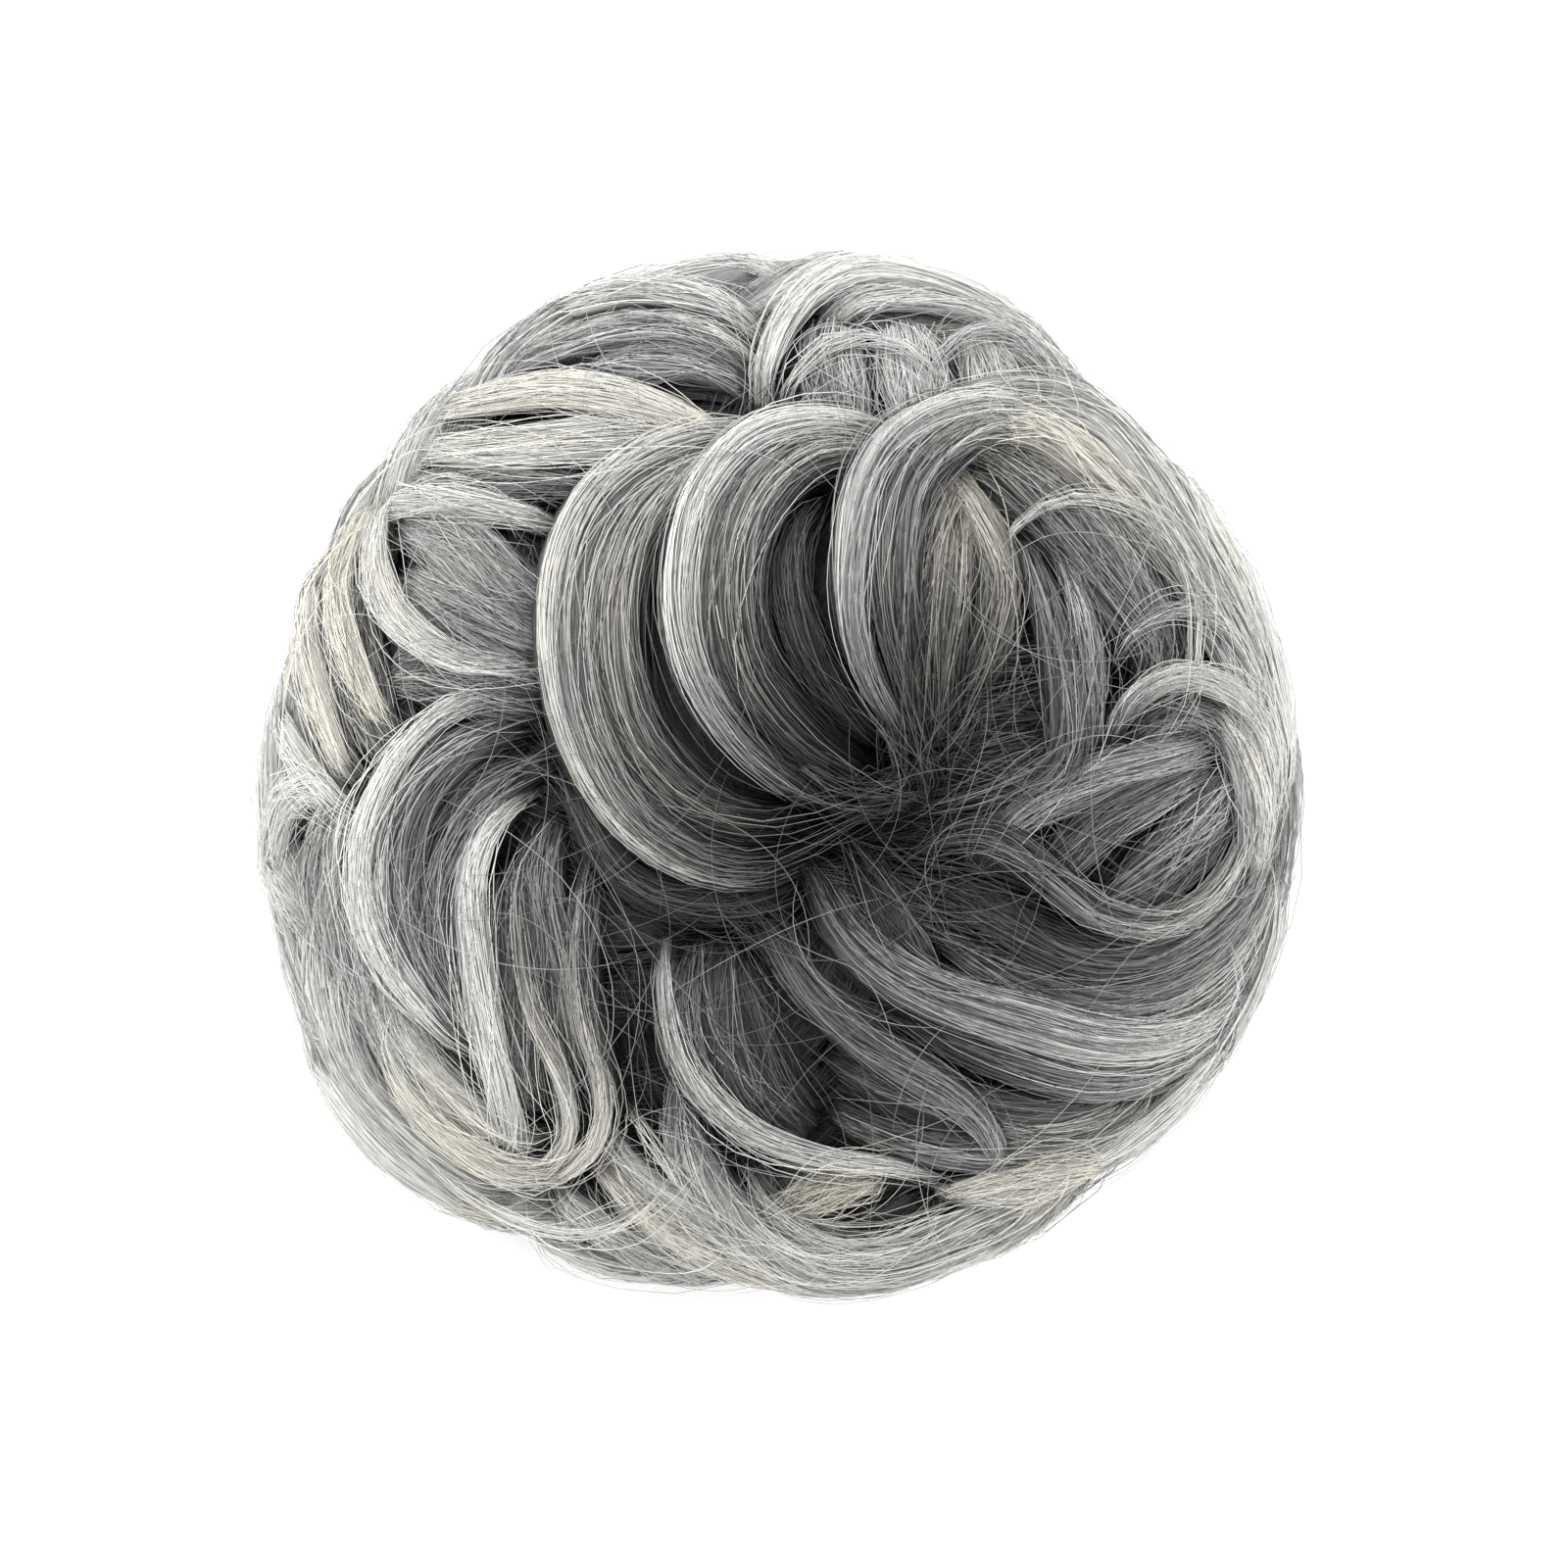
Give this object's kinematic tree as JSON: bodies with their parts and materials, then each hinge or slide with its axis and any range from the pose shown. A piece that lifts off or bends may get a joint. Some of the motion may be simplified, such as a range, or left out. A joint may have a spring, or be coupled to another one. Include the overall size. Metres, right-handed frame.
{
  "type": "top knot hairpiece",
  "caption": "Ready-made messy bun of curled silver and ivory false hair on an elastic band, hollow beneath for a knot of the wearer's own hair.",
  "frame": {"origin": "on the floor, under the middle of the elastic band", "axes": "+Z out of the crown of the bun, +Y towards the top of the piece as seen from above, +X to its right"},
  "size_m": [0.1511, 0.1499, 0.0733],
  "materials": {
    "elastic": "matt knitted cover",
    "weft": "matt, wound and sewn hair roots",
    "hair": "soft sheen along the strands"
  },
  "bodies": {
    "root": {"elastic_band": "elastic", "weft_ring": "weft", "hair_locks": "hair"}
  },
  "joints": []
}
